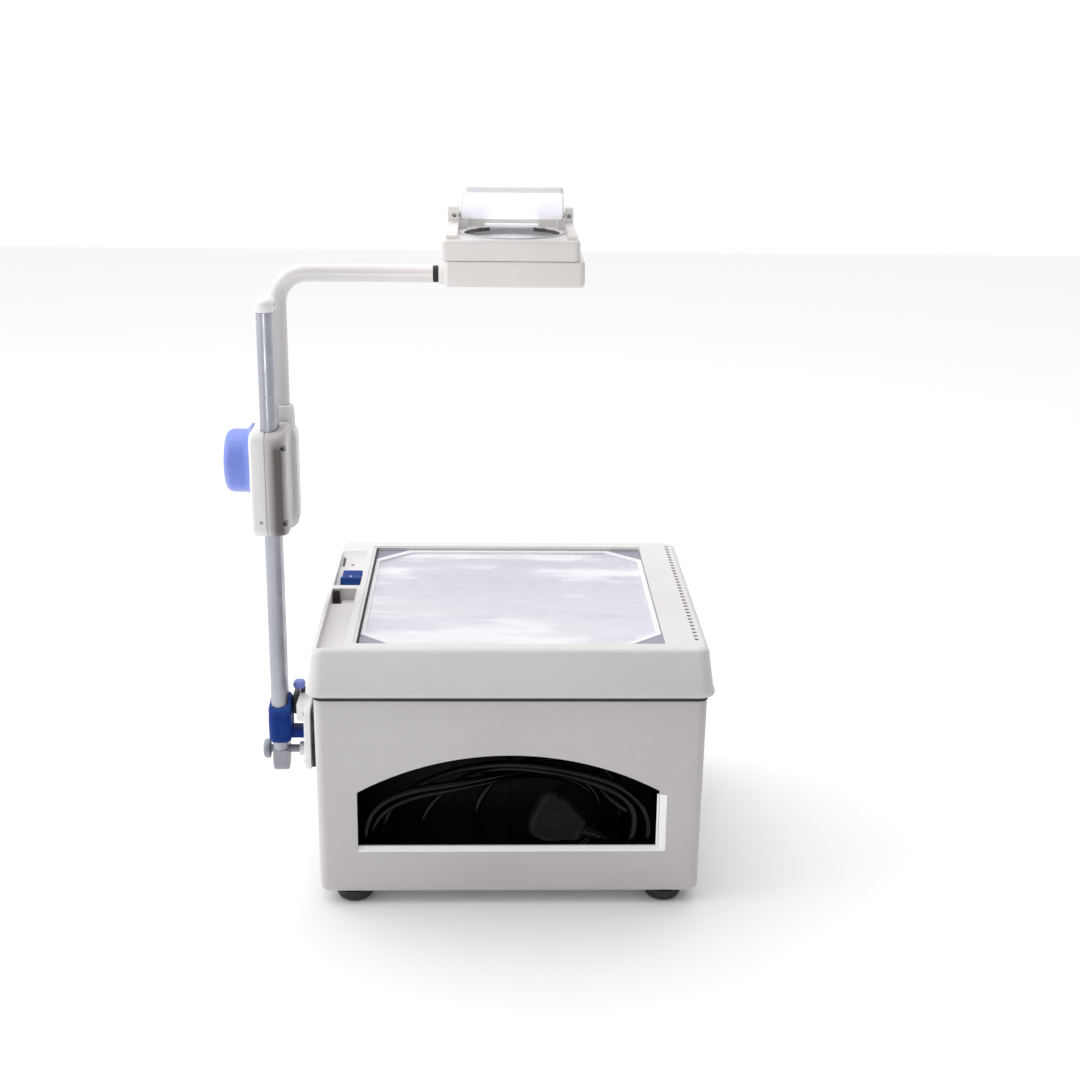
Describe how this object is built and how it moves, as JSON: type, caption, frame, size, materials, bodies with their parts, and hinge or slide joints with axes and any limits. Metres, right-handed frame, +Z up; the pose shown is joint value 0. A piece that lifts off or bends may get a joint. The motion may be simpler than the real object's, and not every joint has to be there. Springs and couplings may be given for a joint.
{
  "type": "overhead projector",
  "caption": "Overhead projector with a hinged glass stage, a cord niche in its base, and a side post that carries a focusing arm with a lens and mirror head.",
  "frame": {"origin": "middle of the footprint of the whole object, on the surface it stands on", "axes": "+Z up, front of the body with the cord niche towards -Y, post on the -X side"},
  "size_m": [0.457, 0.3466, 0.6629],
  "materials": {
    "shell_plastic": "warm light grey moulded plastic, fine satin texture",
    "painted_tube": "satin light grey paint on a steel tube",
    "blue_plastic": "satin deep blue moulded plastic",
    "knob_plastic": "soft satin periwinkle blue plastic",
    "rubber": "matt black",
    "cord_jacket": "satin black flexible jacket",
    "black_plastic": "satin black",
    "liner_plastic": "dark moulded plastic in shade",
    "sheet_steel": "zinc plated",
    "screw_black": "black oxide",
    "post_aluminium": "satin anodised",
    "clear_glass": "clear polished",
    "fresnel_acrylic": "clear acrylic with fine concentric grooves",
    "mask_grey": "lavender grey matt",
    "mirror_coat": "front surface mirror",
    "ceramic_white": "unglazed"
  },
  "bodies": {
    "base": {"body_shell": "shell_plastic", "base_pan": "sheet_steel", "rear_grille": "shell_plastic", "foot_front_left": "rubber", "foot_front_right": "rubber", "foot_rear_left": "rubber", "foot_rear_right": "rubber", "cord_compartment": "liner_plastic", "cord_gland": "cord_jacket", "cord_lead": "cord_jacket", "cord_tail": "cord_jacket", "cord_bundle": "cord_jacket", "mains_plug": "cord_jacket", "lamp_tray": "sheet_steel", "lamp_house": "sheet_steel", "lamp_socket": "ceramic_white", "halogen_lamp": "clear_glass", "reflector": "mirror_coat", "condenser_lens": "clear_glass", "thermal_cutout": "black_plastic", "transformer": "sheet_steel", "terminal_block": "ceramic_white", "fan_housing": "black_plastic", "lower_hinge_leaf_left": "sheet_steel", "lower_hinge_leaf_right": "sheet_steel", "hinge_pin_left": "sheet_steel", "hinge_pin_right": "sheet_steel", "arm_bracket": "shell_plastic", "pivot_pin": "post_aluminium"},
    "fan": {"fan_rotor": "black_plastic"},
    "lid": {"top_cover": "shell_plastic", "stage_glass": "clear_glass", "stage_mask": "mask_grey", "fresnel_lens": "fresnel_acrylic", "upper_hinge_leaf_left": "sheet_steel", "upper_hinge_leaf_right": "sheet_steel", "switch_housing": "black_plastic"},
    "rocker": {"rocker_switch": "blue_plastic"},
    "button": {"release_button": "blue_plastic"},
    "post": {"post_foot": "post_aluminium", "post_tube": "post_aluminium", "post_cap": "shell_plastic"},
    "collar": {"lock_collar": "blue_plastic"},
    "carriage": {"carriage_left": "shell_plastic", "carriage_right": "shell_plastic", "carriage_screw_upper": "screw_black", "carriage_screw_lower": "screw_black", "arm_holder": "shell_plastic"},
    "knob": {"focus_knob": "knob_plastic", "knob_shaft": "sheet_steel"},
    "arm": {"arm_tube": "painted_tube", "neck_washer": "black_plastic", "head_lower_housing": "shell_plastic", "head_upper_housing": "shell_plastic", "objective_lens": "clear_glass", "lens_ring": "black_plastic"},
    "mirror": {"mirror_frame": "shell_plastic", "mirror_glass": "mirror_coat"}
  },
  "joints": [
    {"name": "lid_hinge", "type": "hinge", "parent": "base", "child": "lid", "pos_m": [0.0435, 0.16975, 0.2145], "axis": [-1, 0, 0], "range_deg": [0, 40]},
    {"name": "rocker_press", "type": "hinge", "parent": "lid", "child": "rocker", "pos_m": [-0.1185, 0.04225, 0.25], "axis": [1, 0, 0], "range_deg": [0, 14]},
    {"name": "button_press", "type": "slide", "parent": "base", "child": "button", "axis": [0, 0, -1], "range_m": [0, 0.004], "stiffness_N_per_m": 300, "springref_m": -0.002},
    {"name": "post_fold", "type": "hinge", "parent": "base", "child": "post", "pos_m": [-0.1835, -0.05075, 0.108], "axis": [-1, 0, 0], "range_deg": [0, 60]},
    {"name": "collar_lift", "type": "slide", "parent": "post", "child": "collar", "axis": [0, 0, 1], "range_m": [0, 0.011]},
    {"name": "carriage_slide", "type": "slide", "parent": "post", "child": "carriage", "axis": [0, 0, 1], "range_m": [-0.06, 0.06]},
    {"name": "knob_turn", "type": "hinge", "parent": "carriage", "child": "knob", "pos_m": [-0.1835, -0.02625, 0.399], "axis": [1, 0, 0], "range_deg": [-460, 460]},
    {"name": "arm_swivel", "type": "hinge", "parent": "carriage", "child": "arm", "pos_m": [-0.178, -0.00575, 0.44], "axis": [0, 0, 1], "range_deg": [-45, 45]},
    {"name": "mirror_tilt", "type": "hinge", "parent": "arm", "child": "mirror", "pos_m": [0.0435, 0.02925, 0.628], "axis": [-1, 0, 0], "range_deg": [-18, 28]},
    {"name": "fan_spin", "type": "hinge", "parent": "base", "child": "fan", "pos_m": [0.0435, 0.13275, 0.12], "axis": [0, 1, 0], "continuous": true}
  ],
  "couplings": [
    {"joint": "knob_turn", "follows": "carriage_slide", "rad_per_m": 133.33}
  ]
}
